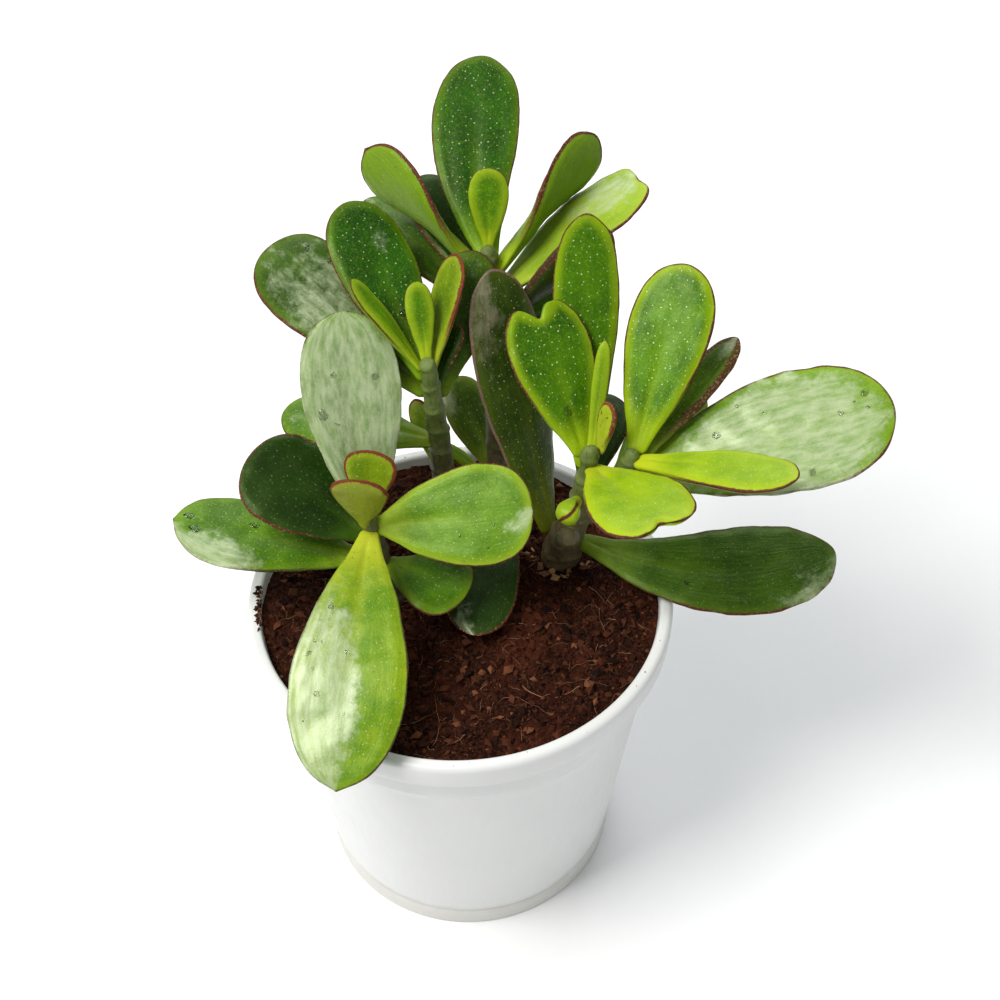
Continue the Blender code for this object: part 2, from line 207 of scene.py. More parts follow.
class Finish:
    """A material under construction: its Principled shader, and short ways to add nodes to it."""

    def __init__(self, tree, shader=None):
        self.tree = tree
        self.shader = shader

    @classmethod
    def material(cls, name):
        made = bpy.data.materials.new(name)
        made.use_nodes = True
        finish = cls(made.node_tree, made.node_tree.nodes["Principled BSDF"])
        finish.result = made
        return finish

    def add(self, kind, **settings):
        node = self.tree.nodes.new(kind)
        for key, value in settings.items():
            setattr(node, key, value)
        return node

    def join(self, source, target):
        self.tree.links.new(source, target)

    def put(self, socket, value):
        """Feeds a socket from another socket, or sets it to a plain value."""
        if isinstance(value, bpy.types.NodeSocket):
            self.join(value, socket)
        elif isinstance(value, tuple) and len(value) == 3 and socket.type == "RGBA":
            socket.default_value = (*value, 1.0)
        else:
            socket.default_value = value

    def maths(self, operation, first, second=0.0, clamp=False):
        node = self.add("ShaderNodeMath", operation=operation, use_clamp=clamp)
        self.put(node.inputs[0], first)
        self.put(node.inputs[1], second)
        return node.outputs[0]

    def blend(self, share, first, second):
        """Colour mixed from first to second by the share."""
        node = self.add("ShaderNodeMix", data_type="RGBA")
        self.put(node.inputs[0], share)
        self.put(node.inputs[6], first)
        self.put(node.inputs[7], second)
        return node.outputs[2]

    def ramp(self, value, low, high, to_low=0.0, to_high=1.0):
        """A smooth step of a value from low to high."""
        node = self.add("ShaderNodeMapRange", interpolation_type="SMOOTHSTEP")
        self.put(node.inputs["Value"], value)
        node.inputs["From Min"].default_value = low
        node.inputs["From Max"].default_value = high
        node.inputs["To Min"].default_value = to_low
        node.inputs["To Max"].default_value = to_high
        return node.outputs["Result"]

    def noise(self, place, scale, detail=3.0, roughness=0.55, squeeze=None):
        node = self.add("ShaderNodeTexNoise")
        if squeeze:
            stretch = self.add("ShaderNodeMapping")
            stretch.inputs["Scale"].default_value = squeeze
            self.join(place, stretch.inputs["Vector"])
            place = stretch.outputs["Vector"]
        self.join(place, node.inputs["Vector"])
        node.inputs["Scale"].default_value = scale
        node.inputs["Detail"].default_value = detail
        node.inputs["Roughness"].default_value = roughness
        return node.outputs["Fac"]

    def value_of(self, attribute):
        """A number stored on the mesh."""
        return self.add("ShaderNodeAttribute", attribute_name=attribute).outputs["Fac"]

    def bump(self, height, depth):
        """Connects a height, in units of depth metres, to the shader's normal."""
        node = self.add("ShaderNodeBump")
        node.inputs["Strength"].default_value = 1.0
        node.inputs["Distance"].default_value = depth
        self.join(height, node.inputs["Height"])
        self.join(node.outputs["Normal"], self.shader.inputs["Normal"])


plastic = Finish.material("white_polypropylene")
spot = plastic.add("ShaderNodeTexCoord").outputs["Object"]
parts = plastic.add("ShaderNodeSeparateXYZ")
plastic.join(spot, parts.inputs[0])
cloud = plastic.noise(spot, 28.0, 4.0)
scuffs = plastic.noise(spot, 900.0, 3.0, squeeze=(1.0, 1.0, 0.08))
grime_spread = plastic.maths("MULTIPLY", plastic.noise(spot, 130.0, 6.0, 0.7), 0.012)
grime_height = plastic.maths("SUBTRACT", parts.outputs["Z"], grime_spread)
grime = plastic.ramp(grime_height, -0.001, 0.0035, 1.0, 0.0)
seam_offset = plastic.maths("SUBTRACT", parts.outputs["Z"], 0.0065)
seam_line = plastic.ramp(plastic.maths("ABSOLUTE", seam_offset), 0.0, 0.0006, 1.0, 0.0)
stain = plastic.maths("MULTIPLY", seam_line, plastic.ramp(cloud, 0.35, 0.6), clamp=True)
clean = plastic.blend(cloud, (0.66, 0.665, 0.66), (0.75, 0.755, 0.745))
dusty = plastic.blend(plastic.maths("MULTIPLY", grime, 0.35), clean, (0.50, 0.47, 0.38))
stained = plastic.blend(plastic.maths("MULTIPLY", stain, 0.45), dusty, (0.55, 0.50, 0.36))
plastic.put(plastic.shader.inputs["Base Color"], stained)
plastic.put(plastic.shader.inputs["Roughness"], plastic.ramp(scuffs, 0.3, 0.75, 0.30, 0.46))
plastic.shader.inputs["Subsurface Weight"].default_value = 0.06
plastic.shader.inputs["Subsurface Scale"].default_value = 0.004
plastic.shader.inputs["Specular IOR Level"].default_value = 0.45
swells = plastic.noise(spot, 90.0, 2.0, squeeze=(1.0, 1.0, 0.4))
ripples = plastic.maths("ADD", swells, plastic.maths("MULTIPLY", scuffs, 0.12))
plastic.bump(ripples, 0.00012)
pot.data.materials.clear()
pot.data.materials.append(plastic.result)
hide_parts("pot")
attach(pot, "root")


# ---------------------------------------------------------------- soil
# Damp coir potting mix: a dark red-brown bed of fine granules with lumps, chips of husk and pale
# coir fibres. It fills the pot almost to the brim and has spilled in crumbs onto the rim.

soil_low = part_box("soil")[0]
soil_radius = 51.2 * MM
soil_level = pot_height - 2.9 * MM
soil_mound = 1.5 * MM
soil_rows = 150
soil_columns = 560
chip_count = 5200
fibre_count = 520
rim_crumbs = 64
spilled_crumbs = 46
stray_crumbs = rim_crumbs - spilled_crumbs
long_fibres = 26

soil_luck = np.random.default_rng(7)


def lattice_noise(x, y, seed, cells):
    """Smooth random heights from -1 to 1 on a plane, with this many cells per metre."""
    values = np.random.default_rng(seed).uniform(-1, 1, (256, 256))
    u = x * cells + 61.3
    v = y * cells + 47.7
    i = np.floor(u).astype(int)
    j = np.floor(v).astype(int)
    a = u - i
    b = v - j
    a = a * a * (3 - 2 * a)
    b = b * b * (3 - 2 * b)
    near = values[i % 256, j % 256] * (1 - a) + values[(i + 1) % 256, j % 256] * a
    far = values[i % 256, (j + 1) % 256] * (1 - a) + values[(i + 1) % 256, (j + 1) % 256] * a
    return near * (1 - b) + far * b


spill_at = math.radians(181)
spill_spread = 0.11
spill_rise = 2.6 * MM


def soil_surface(x, y):
    """Height of the soil: a low mound with lumps, hollows and grains, drawn down a little at the wall."""
    share = np.clip(np.hypot(x, y) / soil_radius, 0, 1)
    lumps = 1.1 * lattice_noise(x, y, 1, 85) + 0.75 * lattice_noise(x, y, 2, 210)
    grains = 0.70 * lattice_noise(x, y, 3, 520) + 0.50 * lattice_noise(x, y, 4, 1100)
    fine = 0.28 * lattice_noise(x, y, 5, 2100)
    rough = (lumps + grains + fine) * MM
    off_spill = np.arctan2(y, x) % (2 * np.pi) - spill_at
    rough = rough + spill_rise * np.exp(-((off_spill / spill_spread) ** 2)) * share**14
    return soil_level + soil_mound * (1 - share**2) + rough * (1 - 0.45 * share**6) - 0.5 * MM * share**8


rings = soil_radius * np.linspace(1, 0.004, soil_rows) ** 0.8
turns = 2 * np.pi * np.arange(soil_columns) / soil_columns
ring_x = rings[:, None] * np.cos(turns)[None]
ring_y = rings[:, None] * np.sin(turns)[None]
bed = np.stack([ring_x, ring_y, soil_surface(ring_x, ring_y)], axis=2)
skirt = []
skirt_rings = [(foot_radius - 4 * MM, soil_low.z)]
skirt_rings += [(foot_radius - wall, soil_low.z + 4 * MM), (49.0 * MM, shoulder)]
for radius, height in skirt_rings:
    level = np.full(soil_columns, height)
    skirt.append(np.stack([radius * np.cos(turns), radius * np.sin(turns), level], axis=1))
soil_points = np.concatenate([np.concatenate(skirt), bed.reshape(-1, 3)])
soil_faces = []
for row in range(len(skirt) + soil_rows - 1):
    outer = row * soil_columns
    inner = outer + soil_columns
    for i in range(soil_columns):
        j = (i + 1) % soil_columns
        soil_faces.append((outer + i, outer + j, inner + j, inner + i))
soil_faces.append(tuple(range(soil_columns))[::-1])
soil_faces.append(tuple(range(len(soil_points) - soil_columns, len(soil_points))))
soil = new_mesh("soil_bed", soil_points, soil_faces)


def crumb(luck, size, flat):
    """Points and faces of one irregular crumb or chip about its own middle."""
    corners = np.array([(1, 0, 0), (-1, 0, 0), (0, 1, 0), (0, -1, 0), (0, 0, 1), (0, 0, -1)])
    corners = corners * luck.uniform(0.6, 1.2, (6, 1))
    corners = corners * np.array((1.0, luck.uniform(0.45, 0.9), flat)) * size
    faces = [(0, 2, 4), (2, 1, 4), (1, 3, 4), (3, 0, 4), (2, 0, 5), (1, 2, 5), (3, 1, 5), (0, 3, 5)]
    turn = Matrix.Rotation(luck.uniform(0, 6.28), 3, "Z") @ Matrix.Rotation(luck.normal(0, 0.5), 3, "X")
    return corners @ np.array(turn).T, faces


def crumbs(name, places, sizes, flats, luck):
    """Many crumbs as one piece, each with its own tone from 0 to 1."""
    points = []
    faces = []
    tones = []
    for place, size, flat in zip(places, sizes, flats):
        corners, sides = crumb(luck, size, flat)
        start = len(points)
        points.extend(corners + place)
        faces.extend([tuple(start + k for k in side) for side in sides])
        tones.extend([luck.uniform(0, 1)] * len(corners))
    made = new_mesh(name, points, faces, smooth=False)
    made.data.attributes.new("tone", "FLOAT", "POINT").data.foreach_set("value", np.array(tones, np.float32))
    return made


spread = np.sqrt(soil_luck.uniform(0, 0.985, chip_count)) * soil_radius
around = soil_luck.uniform(0, 2 * np.pi, chip_count)
chip_x = spread * np.cos(around)
chip_y = spread * np.sin(around)
chip_sizes = (0.26 + 1.7 * soil_luck.uniform(0, 1, chip_count) ** 4) * MM
chip_places = np.stack([chip_x, chip_y, soil_surface(chip_x, chip_y) + chip_sizes * 0.15], axis=1)
chips = crumbs("soil_chips", chip_places, chip_sizes, soil_luck.uniform(0.3, 0.9, chip_count), soil_luck)

spill_around = soil_luck.normal(spill_at, 0.065, spilled_crumbs)
crumb_around = np.concatenate([spill_around, soil_luck.uniform(0, 2 * np.pi, stray_crumbs)])
spill_out = soil_luck.uniform(51.4, 52.9, spilled_crumbs)
crumb_out = np.concatenate([spill_out, soil_luck.uniform(51.4, 54.2, stray_crumbs)]) * MM
spill_sizes = soil_luck.uniform(0.35, 1.0, spilled_crumbs)
crumb_sizes = np.concatenate([spill_sizes, soil_luck.uniform(0.10, 0.32, stray_crumbs)]) * MM
crumb_x = crumb_out * np.cos(crumb_around)
crumb_y = crumb_out * np.sin(crumb_around)
rim_places = np.stack([crumb_x, crumb_y, pot_height + 0.15 * crumb_sizes], axis=1)
spill = crumbs("rim_crumbs", rim_places, crumb_sizes, np.full(rim_crumbs, 0.6), soil_luck)


def fibre(luck, start, length, thick):
    """Points and faces of one thin bent fibre that lies on the soil."""
    steps = 9
    heading = luck.uniform(0, 6.28)
    bend = luck.normal(0, 0.16)
    place = np.array(start)
    middle = []
    for k in range(steps):
        lift = thick + 0.5 * MM * abs(math.sin(k * 0.9 + heading))
        middle.append((place[0], place[1], float(soil_surface(place[0], place[1])) + lift))
        heading += bend + luck.normal(0, 0.18)
        place = place + np.array((math.cos(heading), math.sin(heading))) * length / steps
        reach = np.hypot(*place)
        place = place * min(1.0, soil_radius * 0.985 / max(reach, 1e-6))
    points = []
    faces = []
    for k, centre in enumerate(middle):
        width = thick * (1 - 0.6 * k / steps)
        side = np.array((-math.sin(heading), math.cos(heading), 0)) * width
        up = np.array((0, 0, width))
        points.append(np.array(centre) + side)
        points.append(np.array(centre) - side * 0.5 + up)
        points.append(np.array(centre) - side * 0.5 - up)
        if k:
            a = 3 * (k - 1)
            for i in range(3):
                j = (i + 1) % 3
                faces.append((a + i, a + j, a + 3 + j, a + 3 + i))
    faces.append((0, 1, 2))
    faces.append((3 * steps - 1, 3 * steps - 2, 3 * steps - 3))
    return points, faces


fibre_points = []
fibre_faces = []
fibre_tones = []
for number in range(fibre_count):
    where = soil_luck.uniform(0, 2 * np.pi)
    out = math.sqrt(soil_luck.uniform(0, 0.95)) * soil_radius
    long_one = number < long_fibres
    length = soil_luck.uniform(9, 17) * MM if long_one else soil_luck.uniform(1.5, 6) * MM
    thick = soil_luck.uniform(0.07, 0.11) * MM if long_one else soil_luck.uniform(0.05, 0.12) * MM
    points, faces = fibre(soil_luck, (out * math.cos(where), out * math.sin(where)), length, thick)
    first = len(fibre_points)
    fibre_points.extend(points)
    fibre_faces.extend([tuple(first + k for k in face) for face in faces])
    tone = soil_luck.uniform(0.55, 1.0) if long_one else soil_luck.uniform(0, 0.8)
    fibre_tones.extend([tone] * len(points))
fibres = new_mesh("coir_fibres", fibre_points, fibre_faces)
fibre_tone = fibres.data.attributes.new("tone", "FLOAT", "POINT")
fibre_tone.data.foreach_set("value", np.array(fibre_tones, np.float32))

earth = Finish.material("damp_coir")
spot = earth.add("ShaderNodeTexCoord").outputs["Object"]
patches = earth.noise(spot, 60.0, 3.0)
grain = earth.noise(spot, 1300.0, 4.0, 0.7)
flecks = earth.noise(spot, 520.0, 2.0)
mix = earth.blend(earth.ramp(grain, 0.32, 0.68), (0.0035, 0.0009, 0.0004), (0.050, 0.0135, 0.0060))
mix = earth.blend(earth.ramp(patches, 0.45, 0.72, 0.0, 0.55), mix, (0.095, 0.022, 0.009))
mix = earth.blend(earth.ramp(flecks, 0.66, 0.74, 0.0, 0.8), mix, (0.16, 0.050, 0.020))
earth.put(earth.shader.inputs["Base Color"], mix)
earth.put(earth.shader.inputs["Roughness"], earth.ramp(grain, 0.3, 0.8, 0.95, 0.62))
earth.shader.inputs["Specular IOR Level"].default_value = 0.08
earth.bump(grain, 0.0006)

husk = Finish.material("coir_chips")
tone = husk.value_of("tone")
spot = husk.add("ShaderNodeTexCoord").outputs["Object"]
streaks = husk.noise(spot, 1500.0, 3.0)
shade = husk.blend(husk.ramp(tone, 0.0, 0.75), (0.005, 0.0014, 0.0007), (0.085, 0.024, 0.010))
shade = husk.blend(husk.ramp(tone, 0.86, 0.98), shade, (0.21, 0.075, 0.034))
shade = husk.blend(husk.maths("MULTIPLY", streaks, 0.5), shade, (0.012, 0.005, 0.003))
husk.put(husk.shader.inputs["Base Color"], shade)
husk.put(husk.shader.inputs["Roughness"], husk.ramp(streaks, 0.3, 0.8, 0.92, 0.6))
husk.shader.inputs["Specular IOR Level"].default_value = 0.10
husk.bump(streaks, 0.0002)

thread = Finish.material("coir_fibre")
tone = thread.value_of("tone")
spot = thread.add("ShaderNodeTexCoord").outputs["Object"]
ageing = thread.noise(spot, 300.0, 2.0)
shade = thread.blend(tone, (0.055, 0.020, 0.010), (0.42, 0.19, 0.085))
shade = thread.blend(thread.ramp(ageing, 0.45, 0.7, 0.0, 0.5), shade, (0.10, 0.035, 0.018))
thread.put(thread.shader.inputs["Base Color"], shade)
thread.put(thread.shader.inputs["Roughness"], thread.ramp(ageing, 0.3, 0.7, 0.85, 0.6))

for piece, finish in ((soil, earth), (chips, husk), (spill, husk), (fibres, thread)):
    piece.data.materials.append(finish.result)
    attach(piece, "root")
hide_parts("soil")


# ---------------------------------------------------------------- stems
# Thick succulent stems: olive-brown and finely cracked low down, greener towards the top, with a
# swollen ring and a scar where each pair of leaves has dropped. They root in the soil, and the
# trunk carries a second branch and the stub of a cut one.

stem_voxel = 0.45 * MM
scar_spacing = 8.5 * MM

bark = Finish.material("stem_skin")
spot = bark.add("ShaderNodeTexCoord").outputs["Object"]
parts = bark.add("ShaderNodeSeparateXYZ")
bark.join(spot, parts.inputs[0])
young = bark.ramp(parts.outputs["Z"], 0.104, 0.140)
mottle = bark.noise(spot, 260.0, 4.0, 0.6)
cracks = bark.noise(spot, 900.0, 4.0, 0.65, squeeze=(1.0, 1.0, 0.35))
old = bark.blend(mottle, (0.050, 0.034, 0.014), (0.155, 0.115, 0.048))
green_part = bark.blend(mottle, (0.055, 0.085, 0.014), (0.165, 0.225, 0.040))
skin = bark.blend(young, old, green_part)
skin = bark.blend(bark.ramp(cracks, 0.56, 0.70, 0.0, 0.75), skin, (0.030, 0.016, 0.008))
skin = bark.blend(bark.ramp(bark.noise(spot, 420.0, 2.0), 0.62, 0.72, 0.0, 0.6), skin, (0.23, 0.19, 0.11))
bark.put(bark.shader.inputs["Base Color"], skin)
bark.put(bark.shader.inputs["Roughness"], bark.ramp(mottle, 0.3, 0.7, 0.42, 0.72))
bark.bump(bark.maths("ADD", cracks, bark.maths("MULTIPLY", mottle, 0.7)), 0.0004)

for node in [name for name in frame["nodes"] if name.endswith("_stem")]:
    stem = bpy.data.objects.new(node + "_bark", frame["nodes"][node].data.copy())
    bpy.context.scene.collection.objects.link(stem)
    remesh = stem.modifiers.new("even", "REMESH")
    remesh.mode = "VOXEL"
    remesh.voxel_size = stem_voxel
    soften = stem.modifiers.new("soften", "SMOOTH")
    soften.iterations = 6
    settle(stem)
    mesh = stem.data
    count = len(mesh.vertices)
    places = np.empty(count * 3)
    mesh.vertices.foreach_get("co", places)
    places = places.reshape(-1, 3)
    facing = np.empty(count * 3)
    mesh.vertices.foreach_get("normal", facing)
    facing = facing.reshape(-1, 3)
    height = places[:, 2] - soil_level
    wander = 1.2 * MM * np.sin(places[:, 0] * 310 + places[:, 1] * 270)
    ring = np.exp(-(((height + wander) % scar_spacing - scar_spacing / 2) / (0.9 * MM)) ** 2)
    ridge = np.sin(places[:, 0] * 1900 + places[:, 1] * 1500 + places[:, 2] * 400)
    lumps = np.sin(places[:, 0] * 620 + 1.0) * np.sin(places[:, 1] * 560) * np.sin(places[:, 2] * 500)
    swell = (0.42 * ring + 0.06 * ridge + 0.30 * lumps) * MM
    places += facing * np.where(height > -2 * MM, swell, 0)[:, None]
    mesh.vertices.foreach_set("co", places.ravel())
    mesh.update()
    mesh.shade_smooth()
    mesh.materials.clear()
    mesh.materials.append(bark.result)
    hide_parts(node)
    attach(stem, "root")


# ---------------------------------------------------------------- leaves
# Fleshy spoon-shaped leaves with a waxy skin, each grown straight from the stem. The skin is green
# with pale pores, yellower at the base, and dries to a thin red-brown line along the margin. Some
# carry a silvery film: partly wet and dusty patches, partly a painted sheen of reflected light.

ring_points = 12
left_margin, upper_middle, right_margin, lower_middle = 0, 3, 6, 9
around_steps = (11, 7, 7, 7, 7, 11, 11, 7, 7, 7, 7, 11)
along_steps = (7, 7, 8, 8, 7, 7, 6, 6, 9)
stations = (0.0, 0.1, 0.22, 0.36, 0.5, 0.63, 0.75, 0.86, 0.95, 1.0)
rooted_in = ((1.9 * MM, 0.55), (1.2 * MM, 0.85), (0.5 * MM, 0.97))


def rings_of(node):
    """A leaf node's rings of points from base to tip, then its tip point."""
    mesh = frame["nodes"][node].data
    places = {}
    index = []
    for vertex in mesh.vertices:
        key = tuple(round(c * 1e6) for c in vertex.co)
        index.append(places.setdefault(key, len(places)))
    points = np.array(list(places), float) * 1e-6
    beside = [set() for _ in points]
    for face in mesh.polygons:
        corners = [index[v] for v in face.vertices]
        for k, corner in enumerate(corners):
            beside[corner].add(corners[k - 1])
            beside[corners[k - 1]].add(corner)
    tip = next(v for v, near in enumerate(beside) if len(near) == ring_points)
    order = [min(beside[tip])]
    while len(order) < ring_points:
        order.append(min((beside[order[-1]] & beside[tip]) - set(order)))
    seen = {tip}
    rings = []
    while True:
        ring = points[order]
        if rings:
            turned_round = [np.roll(ring, shift, axis=0) for shift in range(ring_points)]
            ring = min(turned_round, key=lambda choice: ((choice - rings[-1]) ** 2).sum())
        rings.append(ring)
        seen |= set(order)
        ahead = [(beside[order[k - 1]] & beside[order[k]]) - seen for k in range(ring_points)]
        if not all(ahead):
            break
        order = [found.pop() for found in ahead]
    return np.array(rings[::-1]), points[tip]


def faced(rings, tip, upside_down):
    """The rings turned round so that point 0 is on the left margin and point 3 on the upper face."""
    belly = rings[5]
    spans = [np.linalg.norm(belly[k] - belly[k + 6]) for k in range(6)]
    rings = np.roll(rings, -int(np.argmax(spans)), axis=1)
    belly = rings[5]
    middle = (belly[left_margin] + belly[right_margin]) / 2
    near_face, far_face = (np.linalg.norm(belly[k] - middle) for k in (upper_middle, lower_middle))
    if (near_face > far_face) != upside_down:
        rings = np.roll(rings, -6, axis=1)
    belly = rings[5]
    outward = belly[upper_middle] - belly[lower_middle]
    along = tip - rings[0].mean(axis=0)
    leftward = np.cross(outward, along)
    if (belly[left_margin] - belly[right_margin]) @ leftward < 0:
        rings = rings[:, [6, 5, 4, 3, 2, 1, 0, 11, 10, 9, 8, 7]]
    return rings


def through(before, start, end, after, shares):
    """Points on a smooth curve from start to end, its bend set by the distances between the points."""
    pairs = ((before, start), (start, end), (end, after))
    gaps = [np.maximum(np.linalg.norm(b - a, axis=-1, keepdims=True), 1e-7) for a, b in pairs]
    slope_start = (start - before) / gaps[0] * gaps[1] + (end - start) / gaps[1] * gaps[0]
    slope_start = slope_start / (gaps[0] + gaps[1])
    slope_end = ((end - start) / gaps[1] * gaps[2] + (after - end) / gaps[2] * gaps[1]) / (gaps[1] + gaps[2])
    found = []
    for t in shares:
        a = 2 * t**3 - 3 * t**2 + 1
        b = t**3 - 2 * t**2 + t
        leaving = a * start + b * gaps[1] * slope_start
        found.append(leaving + (1 - a) * end + (t**3 - t**2) * gaps[1] * slope_end)
    return found


def smooth_leaf(rings, tip, pointed):
    """The leaf's skin as dense rows of points, and how far along (0 to 1) and around each one lies."""
    dense = []
    turns = []
    for k in range(ring_points):
        before, start, end, after = (rings[:, (k + step) % ring_points] for step in (-1, 0, 1, 2))
        shares = np.arange(around_steps[k]) / around_steps[k]
        dense.extend(through(before, start, end, after, shares))
        turns.extend((k + shares) / ring_points)
    dense = np.array(dense).transpose(1, 0, 2)
    half = dense.shape[1] // 2
    across_tip = 2 * tip - dense[-1] if pointed else np.roll(dense[-1], half, axis=0)
    pole = np.broadcast_to(tip, dense[0].shape)
    path = [dense[0] * 2 - dense[1], *dense, pole, across_tip]
    rows = []
    lengths = []
    for k, steps in enumerate(along_steps):
        shares = np.arange(steps) / steps
        rows.extend(through(path[k], path[k + 1], path[k + 2], path[k + 3], shares))
        lengths.extend(stations[k] + (stations[k + 1] - stations[k]) * shares)
    return np.array(rows), np.array(lengths), np.array(turns)


def leaf_noise(points, size, seed):
    """Soft swells over a leaf, from -1 to 1, with this distance between them in metres."""
    luck = np.random.default_rng(seed)
    total = 0
    for _ in range(5):
        heading = luck.normal(0, 1, 3)
        heading /= np.linalg.norm(heading)
        spacing = size * luck.uniform(0.7, 1.5)
        total = total + np.sin(points @ heading * 6.28 / spacing + luck.uniform(0, 6.28))
    return total / 3.2


def grow_leaf(node, crinkle, film_and_sheen, film_and_sheen_at, upside_down, pointed, seed):
    """The finished skin of one leaf, with the values that its material reads stored on it.

    Crinkle is how wavy its margin is in millimetres. The film share is how much of it is silvery, from 0 to
    1,
    partly wet patches and partly a painted sheen of reflected light, and the film place is where that is:
    the share along, the side (1 left, -1 right) and the spread.
    """
    rings, tip = rings_of(node)
    rings = faced(rings, tip, upside_down)
    rows, lengths, turns = smooth_leaf(rings, tip, pointed)
    count = rows.shape[1]
    base = rows[0].mean(axis=0)
    inward = base - rows[4].mean(axis=0)
    inward /= np.linalg.norm(inward)
    roots = [base + (rows[0] - base) * share + inward * depth for depth, share in rooted_in]
    rows = np.concatenate([np.array(roots), rows])
    lengths = np.concatenate([np.zeros(len(roots)), lengths])
    length = np.linalg.norm(tip - base)
    width = np.linalg.norm(rings[5][left_margin] - rings[5][right_margin])

    left_line = rows[:, 0]
    right_line = rows[:, count // 2]
    line = np.concatenate([left_line, right_line, tip[None]])
    flat = rows.reshape(-1, 3)
    to_line = np.sqrt(((flat[:, None, :] - line[None, :, :]) ** 2).sum(axis=2).min(axis=1))
    across = np.tile(np.cos(2 * np.pi * turns), len(rows))
    up = np.tile(np.sin(2 * np.pi * turns), len(rows))
    along = np.repeat(lengths, count)

    faces_out = np.cross(np.roll(rows, -1, axis=1) - np.roll(rows, 1, axis=1), np.gradient(rows, axis=0))
    faces_out /= np.maximum(np.linalg.norm(faces_out, axis=2, keepdims=True), 1e-12)
    middle = rows.mean(axis=1, keepdims=True)
    if ((rows - middle) * faces_out)[8:40].sum() < 0:
        faces_out = -faces_out
    normals = faces_out.reshape(-1, 3)
    size = min(1.0, width / (18 * MM))
    fade = np.clip(along / 0.12, 0, 1) * np.clip((1 - along) / 0.08, 0, 1)
    swell = 0.16 * leaf_noise(flat, 9 * MM, seed) + 0.05 * leaf_noise(flat, 2.6 * MM, seed + 1)
    channel = -0.45 * np.exp(-((across / 0.16) ** 2)) * np.clip(1.1 - along * 1.25, 0, 1) * (up > 0)
    bead = 0.16 * np.exp(-((to_line / (0.55 * MM)) ** 2))
    wave = crinkle * leaf_noise(flat, 4.5 * MM, seed + 2) * np.exp(-((to_line / (2.2 * MM)) ** 2))
    moved = flat + normals * ((swell + channel + bead * size) * fade * size * MM)[:, None]
    upward = np.repeat(((rows[:, count // 4] - rows[:, 3 * count // 4])), count, axis=0)
    upward /= np.maximum(np.linalg.norm(upward, axis=1, keepdims=True), 1e-9)
    moved = moved + upward * (wave * fade * MM)[:, None]

    points = np.concatenate([moved, (roots[0].mean(axis=0))[None], tip[None]])
    faces = []
    for row in range(len(rows) - 1):
        for i in range(count):
            j = (i + 1) % count
            faces.append((row * count + i, row * count + j, (row + 1) * count + j, (row + 1) * count + i))
    last = (len(rows) - 1) * count
    for i in range(count):
        j = (i + 1) % count
        faces.append((len(points) - 2, j, i))
        faces.append((len(points) - 1, last + i, last + j))
    leaf = new_mesh(node + "_skin", points, faces)
    check = bmesh.new()
    check.from_mesh(leaf.data)
    if check.calc_volume(signed=True) < 0:
        leaf.data.flip_normals()
    check.free()

    # The film mask: where wet patches and a painted sheen of reflected light lie.
    place, side, reach = film_and_sheen_at
    there = np.exp(-(((along - place) / (0.42 * reach)) ** 2) - (((across - side) / (1.1 * reach)) ** 2))
    stored = {
        "along": along,
        "across": across,
        "upper": np.clip(0.5 + 2.5 * up, 0, 1),
        "margin": to_line / MM,
        "film_and_sheen": film_and_sheen * there * (up > -0.1),
    }
    for name, values in stored.items():
        ends = [values[:count].mean(), values[-count:].mean()]
        data = np.concatenate([values, ends]).astype(np.float32)
        leaf.data.attributes.new(name, "FLOAT", "POINT").data.foreach_set("value", data)
    skin = np.stack([along * length / MM, across * width / 2 / MM + 40 * seed, up * 2 + 7 * seed], axis=1)
    skin = np.concatenate([skin, [skin[0], skin[-1]]]).astype(np.float32)
    leaf.data.attributes.new("skin", "FLOAT_VECTOR", "POINT").data.foreach_set("vector", skin.ravel())
    return leaf


